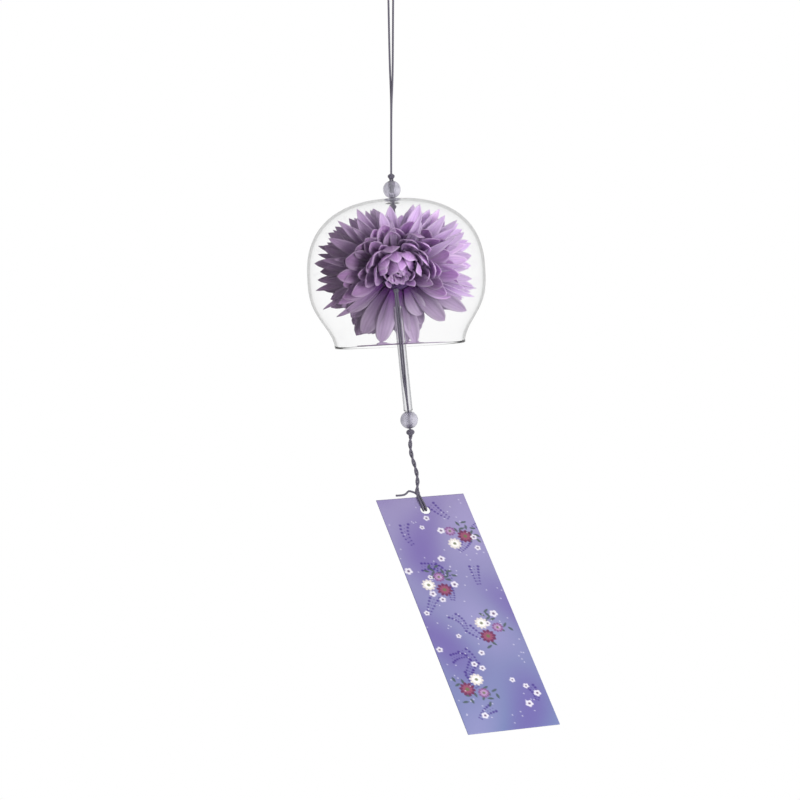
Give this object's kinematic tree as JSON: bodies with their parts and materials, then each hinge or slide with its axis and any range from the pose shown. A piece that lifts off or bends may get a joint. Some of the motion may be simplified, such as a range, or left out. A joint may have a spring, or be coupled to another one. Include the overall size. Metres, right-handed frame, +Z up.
{
  "type": "wind bell",
  "caption": "Glass furin wind bell with a silk chrysanthemum inside, beads, a glass tube clapper and a paper strip hung on one doubled cord.",
  "frame": {"origin": "the hook inside the hanging loop, at the middle of the loop's bend", "axes": "+Z up, +X to the viewer's right, +Y away from the viewer of the pictured front"},
  "size_m": [0.1095, 0.1324, 0.3351],
  "materials": {
    "bell_glass": "clear thin blown glass",
    "tube_glass": "clear glass tube with fire-polished ends",
    "bead": "cloudy pale lavender, polished",
    "cord": "dark grey-violet waxed cord",
    "petals": "dyed silk, lavender with darker feet",
    "core": "moulded flower core",
    "paper": "printed paper strip, soft lavender to blue-violet"
  },
  "bodies": {
    "hanger": {"hanger_cord": "cord"},
    "swivel": {"hanger_knot": "cord"},
    "flower": {"neck_strand_a": "cord", "neck_strand_b": "cord", "stop_knot": "cord", "flower_strand_a": "cord", "flower_strand_b": "cord", "flower_core": "core", "petal_ring_1": "petals", "petal_ring_2": "petals", "petal_ring_3": "petals", "petal_ring_4": "petals", "petal_ring_5": "petals", "petal_ring_6": "petals", "petal_ring_7": "petals", "petal_ring_8": "petals", "petal_ring_9": "petals"},
    "top_bead": {"top_bead": "bead"},
    "bell": {"glass_bell": "bell_glass"},
    "clapper_pivot": {"clapper_knot": "cord"},
    "clapper": {"clapper_strand_a": "cord", "clapper_strand_b": "cord", "lower_knot": "cord"},
    "tube": {"glass_tube": "tube_glass"},
    "lower_bead": {"lower_bead": "bead"},
    "tail": {"tail_strand_a": "cord", "tail_strand_b": "cord"},
    "tie": {"tie_knot": "cord", "tie_loop": "cord", "tie_end": "cord"},
    "paper": {"paper_strip": "paper"}
  },
  "joints": [
    {"name": "bell_twist", "type": "hinge", "parent": "hanger", "child": "swivel", "pos_m": [0.00018, 0, -0.0929], "axis": [0, 0, 1], "continuous": true},
    {"name": "bell_swing", "type": "hinge", "parent": "swivel", "child": "flower", "pos_m": [0.00018, 0, -0.0929], "axis": [0, 1, 0], "range_deg": [-17, 23]},
    {"name": "top_bead_spin", "type": "hinge", "parent": "flower", "child": "top_bead", "pos_m": [0.00018, 0, -0.0929], "axis": [-0.0523, 0, 0.9986], "continuous": true},
    {"name": "bell_spin", "type": "hinge", "parent": "flower", "child": "bell", "pos_m": [0.00018, 0, -0.0929], "axis": [-0.0523, 0, 0.9986], "continuous": true},
    {"name": "clapper_turn", "type": "hinge", "parent": "flower", "child": "clapper_pivot", "pos_m": [0.00236, -0.0018, -0.1443], "axis": [0.1003, -0.0697, -0.9925], "range_deg": [-90, 90]},
    {"name": "clapper_swing", "type": "hinge", "parent": "clapper_pivot", "child": "clapper", "pos_m": [0.00236, -0.0018, -0.1443], "axis": [-0.9949, 0, -0.1006], "range_deg": [-8, 38]},
    {"name": "tube_lift", "type": "slide", "parent": "clapper", "child": "tube", "axis": [-0.1003, 0.0697, 0.9925], "range_m": [0, 0.004]},
    {"name": "lower_bead_spin", "type": "hinge", "parent": "clapper", "child": "lower_bead", "pos_m": [0.00879, -0.00627, -0.20793], "axis": [0.1003, -0.0697, -0.9925], "continuous": true},
    {"name": "tail_swing", "type": "hinge", "parent": "clapper", "child": "tail", "pos_m": [0.00879, -0.00627, -0.20793], "axis": [0, 1, 0], "range_deg": [-35, 35]},
    {"name": "paper_twist", "type": "hinge", "parent": "tail", "child": "tie", "pos_m": [0.01185, -0.00418, -0.23512], "axis": [0.1116, 0.0762, -0.9908], "continuous": true},
    {"name": "paper_flap", "type": "hinge", "parent": "tie", "child": "paper", "pos_m": [0.01542, -0.009, -0.24275], "axis": [0.9224, 0.3816, 0.059], "range_deg": [-15, 60], "deforming": ["tie_loop"]}
  ]
}
